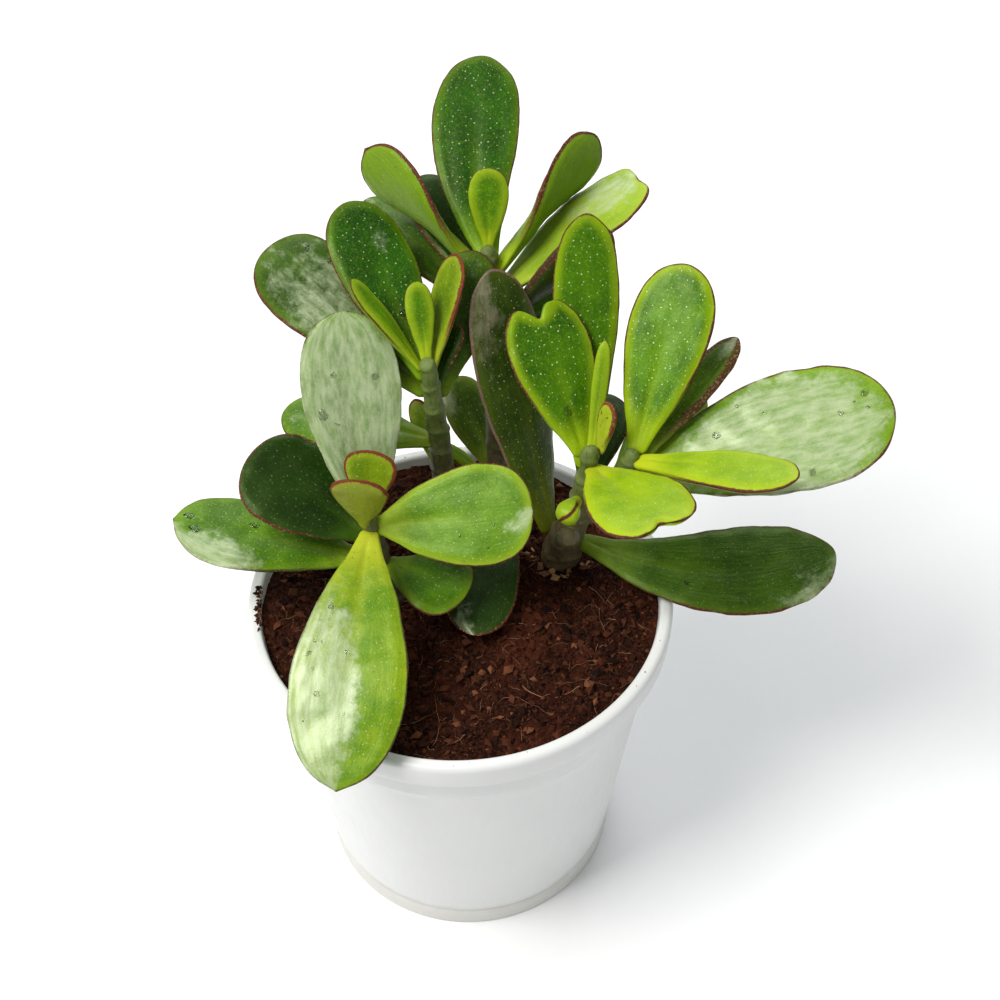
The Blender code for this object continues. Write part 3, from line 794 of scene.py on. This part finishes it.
def skin_group():
    """The node group that paints a leaf's skin, with wet patches and a painted sheen as a silvery film, and
    gives its roughness, gloss film and relief.
    """
    tree = bpy.data.node_groups.new("jade_leaf_skin", "ShaderNodeTree")
    colours = ("Body", "Shade", "Base", "Underside", "Margin", "Film Colour")
    numbers = {"Margin Width": 0.5, "Pores": 0.6, "Streaks": 0.3, "Glow": 0.4, "Speckle": 0.2, "Dry": 0.4}
    for name in colours:
        tree.interface.new_socket(name, in_out="INPUT", socket_type="NodeSocketColor")
    for name, value in numbers.items():
        tree.interface.new_socket(name, in_out="INPUT", socket_type="NodeSocketFloat").default_value = value
    tree.interface.new_socket("Colour", in_out="OUTPUT", socket_type="NodeSocketColor")
    for name in ("Roughness", "Coat", "Relief"):
        tree.interface.new_socket(name, in_out="OUTPUT", socket_type="NodeSocketFloat")
    g = Finish(tree)
    given = g.add("NodeGroupInput").outputs
    result = g.add("NodeGroupOutput").inputs
    along = g.value_of("along")
    across = g.value_of("across")
    upper = g.value_of("upper")
    margin = g.value_of("margin")
    film_and_sheen = g.value_of("film_and_sheen")
    skin = g.add("ShaderNodeAttribute", attribute_name="skin").outputs["Vector"]
    spot = g.add("ShaderNodeTexCoord").outputs["Object"]

    clouds = g.noise(spot, 75.0, 3.0, 0.5)
    blotch = g.noise(spot, 240.0, 4.0, 0.6)
    cells = g.noise(spot, 1700.0, 3.0, 0.6)
    streaks = g.noise(skin, 0.9, 4.0, 0.6, squeeze=(0.16, 1.5, 0.6))

    mottle = g.maths("ADD", g.maths("MULTIPLY", clouds, 0.65), g.maths("MULTIPLY", blotch, 0.35))
    tone = g.ramp(mottle, 0.36, 0.64)
    colour = g.blend(tone, given["Body"], given["Shade"])
    colour = g.blend(g.ramp(cells, 0.45, 0.75, 0.0, 0.30), colour, given["Base"])
    streak_mask = g.maths("MULTIPLY", g.ramp(streaks, 0.46, 0.66), given["Streaks"])
    colour = g.blend(streak_mask, colour, given["Shade"])
    edge_light = g.maths("MULTIPLY", g.ramp(margin, 0.5, 3.2, 1.0, 0.0), given["Glow"])
    colour = g.blend(edge_light, colour, given["Base"])
    foot = g.ramp(g.maths("ADD", along, g.maths("MULTIPLY", blotch, 0.12)), 0.03, 0.34, 1.0, 0.0)
    colour = g.blend(foot, colour, given["Base"])
    middle_line = g.ramp(g.maths("ABSOLUTE", across), 0.02, 0.22, 1.0, 0.0)
    midrib = g.maths("MULTIPLY", middle_line, g.ramp(along, 0.2, 0.7, 0.22, 0.0))
    colour = g.blend(midrib, colour, given["Base"])
    below = g.maths("SUBTRACT", 1.0, upper)
    colour = g.blend(g.maths("MULTIPLY", below, 0.75), colour, given["Underside"])

    pores = g.add("ShaderNodeTexVoronoi", voronoi_dimensions="2D")
    g.join(skin, pores.inputs["Vector"])
    pores.inputs["Scale"].default_value = 0.50
    pores.inputs["Randomness"].default_value = 0.85
    pore_size = g.ramp(g.noise(skin, 1.3, 2.0), 0.35, 0.65, 0.05, 0.115)
    dot = g.maths("MULTIPLY", g.maths("SUBTRACT", pore_size, pores.outputs["Distance"]), 28.0, clamp=True)
    dot = g.maths("MULTIPLY", dot, g.ramp(margin, 0.7, 1.6))
    dot = g.maths("MULTIPLY", dot, g.ramp(g.noise(skin, 0.45, 1.0), 0.30, 0.50, 0.25, 1.0))
    dot = g.maths("MULTIPLY", dot, given["Pores"], clamp=True)
    colour = g.blend(dot, colour, (0.60, 0.68, 0.36))

    specks = g.ramp(g.noise(spot, 850.0, 2.0, 0.5), 0.66, 0.72)
    specks = g.maths("MULTIPLY", specks, given["Speckle"])
    colour = g.blend(specks, colour, (0.055, 0.040, 0.015))

    ragged = g.maths("ADD", g.maths("MULTIPLY", blotch, 0.9), g.maths("MULTIPLY", cells, 0.5))
    unevenness = g.maths("ADD", g.maths("MULTIPLY", ragged, 1.5), 0.05)
    line_reach = g.maths("MULTIPLY", given["Margin Width"], unevenness)
    into_line = g.maths("SUBTRACT", line_reach, margin)
    red = g.maths("MULTIPLY", g.ramp(into_line, -0.10, 0.22), g.ramp(along, 0.10, 0.45))
    colour = g.blend(red, colour, given["Margin"])
    crust = g.maths("MULTIPLY", g.ramp(cells, 0.52, 0.62), red)
    colour = g.blend(g.maths("MULTIPLY", crust, given["Dry"]), colour, (0.34, 0.19, 0.10))

    # Silvery film: wet patches, with a painted sheen of reflected light mixed into the colour as well.
    islands = g.noise(spot, 230.0, 6.0, 0.66)
    film_and_sheen_strength = g.maths("MULTIPLY", film_and_sheen, 1.55)
    wet_and_sheen = g.maths("SUBTRACT", film_and_sheen_strength, g.maths("ADD", g.maths("MULTIPLY", islands, 1.25), -0.05))
    wet_and_sheen = g.ramp(wet_and_sheen, -0.12, 0.30)
    sheet = g.noise(skin, 0.5, 4.0, 0.6, squeeze=(0.4, 1.2, 1.0))
    film_and_sheen_veil = g.maths("MULTIPLY", wet_and_sheen, g.ramp(sheet, 0.26, 0.70, 0.28, 0.86))
    colour = g.blend(film_and_sheen_veil, colour, given["Film Colour"])
    g.put(result["Colour"], colour)

    matt = g.ramp(g.maths("ADD", blotch, g.maths("MULTIPLY", cells, 0.4)), 0.4, 1.0, 0.30, 0.48)
    matt = g.maths("ADD", matt, g.maths("MULTIPLY", red, 0.22))
    g.put(result["Roughness"], g.maths("SUBTRACT", matt, g.maths("MULTIPLY", wet_and_sheen, 0.12), clamp=True))
    g.put(result["Coat"], g.ramp(wet_and_sheen, 0.0, 1.0, 0.02, 0.45))
    grooves = g.maths("MULTIPLY", g.maths("MULTIPLY", streaks, given["Streaks"]), 1.2)
    relief = g.maths("ADD", g.maths("MULTIPLY", cells, 0.35), grooves)
    relief = g.maths("ADD", relief, g.maths("MULTIPLY", dot, 0.25))
    relief = g.maths("ADD", relief, g.maths("MULTIPLY", wet_and_sheen, 0.5))
    g.put(result["Relief"], g.maths("ADD", relief, g.maths("MULTIPLY", crust, 0.6)))
    return tree


leaf_skin = skin_group()
# The film colour: a silver for wet patches and for painted sheen.
silver_film_and_sheen = (0.42, 0.49, 0.29)
margin_red = (0.085, 0.014, 0.010)
leaf_finishes = {}


def leaf_finish(name, body, shade, base, underside, margin=margin_red, film_and_sheen_colour=silver_film_and_sheen, **numbers):
    """A leaf material: the shared skin with this leaf's own colours, pores, streaks and margin."""
    finish = Finish.material(name)
    skin = finish.add("ShaderNodeGroup", node_tree=leaf_skin)
    colours = {"Body": body, "Shade": shade, "Base": base}
    colours |= {"Underside": underside, "Margin": margin, "Film Colour": film_and_sheen_colour}
    for socket, colour in colours.items():
        skin.inputs[socket].default_value = (*colour, 1.0)
    for socket, value in numbers.items():
        skin.inputs[socket.replace("_", " ").title()].default_value = value
    finish.join(skin.outputs["Colour"], finish.shader.inputs["Base Color"])
    finish.join(skin.outputs["Roughness"], finish.shader.inputs["Roughness"])
    finish.join(skin.outputs["Coat"], finish.shader.inputs["Coat Weight"])
    finish.shader.inputs["Coat Roughness"].default_value = 0.24
    finish.shader.inputs["Specular IOR Level"].default_value = 0.26
    finish.shader.inputs["Specular Tint"].default_value = (0.80, 1.0, 0.45, 1.0)
    finish.shader.inputs["Subsurface Weight"].default_value = 0.06
    finish.shader.inputs["Subsurface Radius"].default_value = (0.6, 1.0, 0.2)
    finish.shader.inputs["Subsurface Scale"].default_value = 0.0016
    finish.bump(skin.outputs["Relief"], 0.00022)
    leaf_finishes[name] = finish.result


leaf_finish(
    "deep_green", (0.014, 0.082, 0.001), (0.004, 0.038, 0.001), (0.16, 0.28, 0.003), (0.05, 0.11, 0.006),
    pores=0.55, margin_width=0.34, glow=0.30, streaks=0.25, speckle=0.15, dry=0.5,
)
leaf_finish(
    "dark_green", (0.010, 0.034, 0.002), (0.004, 0.017, 0.001), (0.040, 0.09, 0.005), (0.035, 0.07, 0.008),
    pores=0.14, margin_width=0.5, glow=0.20, streaks=0.35, speckle=0.3, dry=0.7,
)
leaf_finish(
    "lush_green", (0.052, 0.155, 0.001), (0.014, 0.072, 0.001), (0.27, 0.40, 0.004), (0.10, 0.20, 0.008),
    pores=0.85, margin_width=0.40, glow=0.65, streaks=0.2, speckle=0.15, dry=0.5,
)
leaf_finish(
    "bright_green", (0.070, 0.195, 0.001), (0.022, 0.100, 0.001), (0.34, 0.47, 0.006), (0.15, 0.27, 0.01),
    pores=0.95, margin_width=0.46, glow=0.60, streaks=0.15, speckle=0.12, dry=0.5,
)
leaf_finish(
    "mid_green", (0.055, 0.14, 0.004), (0.022, 0.075, 0.002), (0.20, 0.32, 0.01), (0.08, 0.15, 0.01),
    pores=0.3, margin_width=0.34, glow=0.35, streaks=0.3, speckle=0.25, dry=0.3,
)
leaf_finish(
    "pale_rimmed", (0.10, 0.22, 0.006), (0.045, 0.13, 0.004), (0.30, 0.42, 0.02), (0.12, 0.20, 0.01),
    pores=0.45, margin_width=0.36, glow=0.6, streaks=0.25, speckle=0.2, dry=0.4,
)
leaf_finish(
    "leathery_green", (0.050, 0.115, 0.006), (0.018, 0.055, 0.002), (0.16, 0.25, 0.01), (0.05, 0.10, 0.01),
    pores=0.22, margin_width=0.42, glow=0.20, streaks=0.55, speckle=0.3, dry=0.5,
)
leaf_finish(
    "yellow_green", (0.26, 0.39, 0.004), (0.16, 0.29, 0.002), (0.40, 0.47, 0.012), (0.22, 0.34, 0.01),
    pores=0.4, margin_width=0.46, glow=0.45, streaks=0.15, speckle=0.12, dry=0.2,
)
leaf_finish(
    "young_lime", (0.095, 0.23, 0.001), (0.035, 0.12, 0.001), (0.32, 0.43, 0.01), (0.14, 0.26, 0.004),
    pores=0.15, margin_width=0.26, glow=0.6, streaks=0.1, speckle=0.08, dry=0.1,
)
leaf_finish(
    "silvery", (0.085, 0.20, 0.005), (0.035, 0.11, 0.002), (0.30, 0.41, 0.02), (0.13, 0.22, 0.02),
    margin=(0.045, 0.034, 0.010), pores=0.35, margin_width=0.34, glow=0.15,
    streaks=0.15, speckle=0.35, dry=0.3,
)
leaf_finish(
    "silvery_red", (0.14, 0.27, 0.010), (0.075, 0.19, 0.006), (0.32, 0.42, 0.02), (0.14, 0.24, 0.02),
    pores=0.3, margin_width=0.52, glow=0.15, streaks=0.15, speckle=0.25, dry=0.35,
)
leaf_finish(
    "sunlit_green", (0.19, 0.29, 0.008), (0.070, 0.18, 0.003), (0.40, 0.44, 0.02), (0.15, 0.25, 0.02),
    margin=(0.050, 0.038, 0.010), pores=0.4, margin_width=0.38, glow=0.1, streaks=0.25, speckle=0.4, dry=0.3,
)
leaf_finish(
    "pale_green", (0.30, 0.42, 0.03), (0.19, 0.31, 0.015), (0.36, 0.46, 0.03), (0.19, 0.30, 0.02),
    pores=0.2, margin_width=0.44, glow=0.4, streaks=0.3, speckle=0.15, dry=0.5,
)
leaf_finish(
    "olive_dusty", (0.042, 0.080, 0.006), (0.012, 0.032, 0.002), (0.16, 0.19, 0.008), (0.07, 0.10, 0.01),
    margin=(0.22, 0.13, 0.11), film_and_sheen_colour=(0.30, 0.27, 0.17), pores=0.55, margin_width=0.6, glow=0.2,
    streaks=0.7, speckle=0.4, dry=0.6,
)
leaf_finish(
    "frosted", (0.10, 0.16, 0.015), (0.035, 0.075, 0.005), (0.25, 0.34, 0.02), (0.07, 0.12, 0.01),
    margin=(0.20, 0.12, 0.08), film_and_sheen_colour=(0.40, 0.42, 0.26), pores=0.6, margin_width=0.5, glow=0.5,
    streaks=0.9, speckle=0.3, dry=0.5,
)
leaf_finish(
    "streaked_under", (0.13, 0.24, 0.004), (0.040, 0.100, 0.002), (0.34, 0.46, 0.01), (0.14, 0.25, 0.006),
    pores=0.2, margin_width=0.8, glow=0.3, streaks=1.0, speckle=0.35, dry=0.5,
)
leaf_finish(
    "purple_brown", (0.050, 0.110, 0.004), (0.022, 0.040, 0.003), (0.14, 0.25, 0.008), (0.022, 0.034, 0.005),
    margin=(0.060, 0.022, 0.012), pores=0.1, margin_width=1.5, glow=0.1, streaks=0.7, speckle=0.3, dry=0.4,
)
leaf_finish(
    "young_red", (0.16, 0.24, 0.004), (0.08, 0.15, 0.002), (0.34, 0.40, 0.02), (0.22, 0.24, 0.02),
    margin=(0.15, 0.022, 0.010), pores=0.3, margin_width=0.72, glow=0.4, streaks=0.2, speckle=0.15, dry=0.15,
)
leaf_finish(
    "withered", (0.085, 0.165, 0.010), (0.035, 0.075, 0.005), (0.28, 0.38, 0.02), (0.10, 0.17, 0.02),
    margin=(0.085, 0.035, 0.012), pores=0.2, margin_width=1.7, glow=0.2, streaks=0.6, speckle=0.5, dry=1.0,
)
leaf_finish(
    "red_spotted", (0.34, 0.42, 0.006), (0.22, 0.30, 0.003), (0.42, 0.46, 0.03), (0.30, 0.36, 0.01),
    margin=(0.17, 0.035, 0.012), pores=0.1, margin_width=0.9, glow=0.4, streaks=0.2, speckle=0.9, dry=0.6,
)

everywhere = (0.55, 0.0, 1.4)
tip_only = (0.95, 0.0, 0.55)

# Each shoot's leaves from the bottom up: finish, waviness of the margin, silvery film (wet patches and
# painted sheen), where the film lies.
shoots = {
    "front_left": [
        ("silvery", 0.05, 0.75, (0.78, 0.9, 0.75)),
        ("mid_green", 0.05, 0.25, tip_only),
        ("sunlit_green", 0.05, 0.95, (0.66, -0.8, 1.0)),
        ("silvery", 0.05, 0.95, everywhere),
        ("dark_green", 0.22, 0.2, (0.2, 0.2, 0.3)),
        ("pale_rimmed", 0.08, 0.62, (1.0, -0.3, 0.5)),
        ("young_red", 0.05, 0.0, everywhere),
        ("young_red", 0.06, 0.35, everywhere),
    ],
    "left": [
        ("young_red", 0.04, 0.3, tip_only),
        ("silvery", 0.06, 0.4, everywhere),
        ("leathery_green", 0.10, 0.50, everywhere),
        ("leathery_green", 0.08, 0.35, tip_only),
        ("deep_green", 0.05, 0.36, (0.75, -0.35, 0.4)),
        ("dark_green", 0.05, 0.3, tip_only),
        ("young_red", 0.05, 0.0, everywhere),
        ("young_lime", 0.05, 0.0, everywhere),
        ("young_lime", 0.03, 0.0, everywhere),
    ],
    "back": [
        ("dark_green", 0.05, 0.5, (0.95, -0.5, 0.5)),
        ("frosted", 0.05, 0.6, (0.8, 0.8, 0.6)),
        ("young_lime", 0.03, 0.0, everywhere),
        ("mid_green", 0.05, 0.3, tip_only),
        ("purple_brown", 0.10, 0.2, tip_only),
        ("leathery_green", 0.28, 0.4, tip_only),
        ("pale_green", 0.06, 0.55, (0.8, 0.2, 0.9)),
        ("dark_green", 0.28, 0.0, everywhere),
        ("streaked_under", 0.08, 0.0, everywhere),
        ("streaked_under", 0.05, 0.0, everywhere),
        ("deep_green", 0.06, 0.0, everywhere),
        ("young_lime", 0.04, 0.0, everywhere),
    ],
    "right": [
        ("olive_dusty", 0.05, 0.52, (0.90, 0.55, 0.75)),
        ("leathery_green", 0.08, 0.5, (0.95, -0.8, 0.7)),
        ("yellow_green", 0.0, 0.0, everywhere),
        ("dark_green", 0.05, 0.0, everywhere),
        ("lush_green", 0.06, 0.3, tip_only),
        ("lush_green", 0.06, 0.3, tip_only),
        ("yellow_green", 0.10, 0.0, everywhere),
        ("young_lime", 0.02, 0.0, everywhere),
        ("red_spotted", 0.04, 0.0, everywhere),
    ],
    "far_right": [
        ("mid_green", 0.05, 0.0, everywhere),
        ("silvery_red", 0.08, 0.92, (0.55, -0.15, 1.1)),
        ("withered", 0.45, 0.5, tip_only),
        ("bright_green", 0.08, 0.0, everywhere),
        ("yellow_green", 0.05, 0.0, everywhere),
    ],
}
dished_under = ("back_leaf_2", "right_leaf_1")
pointed_tips = ("front_left_leaf_1", "front_left_leaf_3", "back_leaf_9")

seed = 0
leaves = {}
for shoot, looks in shoots.items():
    for number, (finish, crinkle, film_and_sheen, film_and_sheen_at) in enumerate(looks, 1):
        seed += 1
        node = f"{shoot}_leaf_{number}"
        leaf = grow_leaf(node, crinkle, film_and_sheen, film_and_sheen_at, node in dished_under, node in pointed_tips, seed)
        leaf.data.materials.append(leaf_finishes[finish])
        leaves[node] = leaf
        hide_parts(node)
        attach(leaf, "root")


# ---------------------------------------------------------------- dry remains
# Withered bracts and old leaf bases: thin orange-brown flakes, dried onto the foot of the oldest
# stem and lying round it on the soil.

flake_luck = np.random.default_rng(33)
flake_count = 22
foot_x = 27 * MM
foot_y = 13 * MM
flake_turns = flake_luck.uniform(math.radians(-200), math.radians(20), flake_count)
flake_reach = flake_luck.uniform(5.6, 9.0, flake_count) * MM
flake_x = foot_x + flake_reach * np.cos(flake_turns)
flake_y = foot_y + flake_reach * np.sin(flake_turns)
flake_sizes = flake_luck.uniform(0.7, 2.0, flake_count) * MM
flake_z = soil_surface(flake_x, flake_y) + flake_luck.uniform(0.1, 1.2, flake_count) * MM
flake_places = np.stack([flake_x, flake_y, flake_z], axis=1)
flakes = crumbs("papery_remains", flake_places, flake_sizes, np.full(flake_count, 0.14), flake_luck)
bract = Finish.material("dry_bract")
tan = bract.blend(bract.value_of("tone"), (0.13, 0.050, 0.015), (0.36, 0.19, 0.07))
bract.put(bract.shader.inputs["Base Color"], tan)
bract.shader.inputs["Roughness"].default_value = 0.75
flakes.data.materials.append(bract.result)
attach(flakes, "root")


# ---------------------------------------------------------------- water
# Drops left by watering: small clear domes, some of them drawn out long, that cling to the upper
# faces of the wet leaves.

drop_sides = 18
drop_rows = 6
wet_leaves = {
    "front_left_leaf_3": 9,
    "far_right_leaf_2": 8,
    "front_left_leaf_4": 4,
    "left_leaf_3": 6,
    "right_leaf_6": 2,
    "front_left_leaf_6": 3,
    "right_leaf_2": 4,
    "left_leaf_5": 2,
    "front_left_leaf_1": 3,
}


def drop(luck, place, facing, size):
    """Points and faces of one flattened drop standing on a leaf."""
    turn = facing.to_track_quat("Z", "Y").to_matrix()
    long_way = luck.uniform(1.0, 1.9)
    heading = luck.uniform(0, 6.28)
    lobes = luck.uniform(0.04, 0.16)
    points = []
    for row in range(drop_rows):
        climb = math.radians(90 * row / drop_rows)
        for i in range(drop_sides):
            a = 2 * math.pi * i / drop_sides
            out = size * math.cos(climb) * (1 + lobes * math.sin(3 * a + heading))
            x = out * math.cos(a) * long_way
            y = out * math.sin(a)
            c, d = math.cos(heading), math.sin(heading)
            rise = 0.30 * size * math.sin(climb) - 0.03 * MM
            points.append(place + turn @ Vector((x * c - y * d, x * d + y * c, rise)))
    points.append(place + turn @ Vector((0, 0, 0.30 * size)))
    faces = [tuple(range(drop_sides))[::-1]]
    for row in range(drop_rows - 1):
        lower = row * drop_sides
        upper = lower + drop_sides
        for i in range(drop_sides):
            j = (i + 1) % drop_sides
            faces.append((lower + i, lower + j, upper + j, upper + i))
    last = (drop_rows - 1) * drop_sides
    faces.extend((last + i, last + (i + 1) % drop_sides, last + drop_sides) for i in range(drop_sides))
    return points, faces


water_luck = np.random.default_rng(21)
water_points = []
water_faces = []
for node, count in wet_leaves.items():
    mesh = leaves[node].data
    kept = [
        v for v in range(len(mesh.vertices))
        if mesh.attributes["upper"].data[v].value > 0.99
        and mesh.attributes["margin"].data[v].value > 3.0
        and 0.25 < mesh.attributes["along"].data[v].value < 0.95
    ]
    for pick in water_luck.choice(kept, count, replace=False):
        vertex = mesh.vertices[int(pick)]
        size = (0.30 + 0.9 * water_luck.uniform() ** 2) * MM
        points, faces = drop(water_luck, vertex.co, vertex.normal, size)
        first = len(water_points)
        water_points.extend(points)
        water_faces.extend([tuple(first + k for k in face) for face in faces])
drops = new_mesh("water_drops", water_points, water_faces)
water = Finish.material("clear_water")
water.shader.inputs["Base Color"].default_value = (0.97, 1.0, 0.96, 1.0)
water.shader.inputs["Roughness"].default_value = 0.03
water.shader.inputs["IOR"].default_value = 1.33
water.shader.inputs["Transmission Weight"].default_value = 1.0
spot = water.add("ShaderNodeTexCoord").outputs["Object"]
water.bump(water.noise(spot, 600.0, 1.0), 0.00008)
drops.data.materials.append(water.result)
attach(drops, "root")


# ---------------------------------------------------------------- floor and light
# A plain pale floor in a bright studio: a large soft lamp high on the left, a wide one behind
# that gives the leaves their sheen, and even light all round.

floor = new_mesh("floor", [(-4, -4, 0), (4, -4, 0), (4, 4, 0), (-4, 4, 0)], [(0, 1, 2, 3)], smooth=False)
paper = Finish.material("pale_floor")
spot = paper.add("ShaderNodeTexCoord").outputs["Object"]
fine = paper.noise(spot, 300.0, 2.0)
paper.put(paper.shader.inputs["Base Color"], paper.blend(fine, (0.90, 0.90, 0.905), (0.92, 0.92, 0.92)))
paper.shader.inputs["Roughness"].default_value = 0.9
floor.data.materials.append(paper.result)


def lamp(name, place, aimed_at, size, power, colour):
    """A square soft lamp that points at a place."""
    data = bpy.data.lights.new(name, "AREA")
    data.size = size
    data.energy = power
    data.color = colour
    made = bpy.data.objects.new(name, data)
    made.location = place
    made.rotation_euler = (Vector(aimed_at) - Vector(place)).to_track_quat("-Z", "Y").to_euler()
    bpy.context.scene.collection.objects.link(made)


lamp("key_lamp", (-0.42, -0.18, 0.85), (0, 0, 0.12), 0.42, 8.5, (1.0, 0.985, 0.95))
lamp("back_lamp", (0.10, 0.75, 0.80), (0, 0, 0.12), 0.70, 4.5, (0.97, 0.99, 1.0))
room = bpy.data.worlds.new("studio")
room.use_nodes = True
room.node_tree.nodes["Background"].inputs["Color"].default_value = (0.95, 0.98, 1.0, 1.0)
room.node_tree.nodes["Background"].inputs["Strength"].default_value = 0.46
bpy.context.scene.world = room
bpy.context.scene.view_settings.view_transform = "Standard"
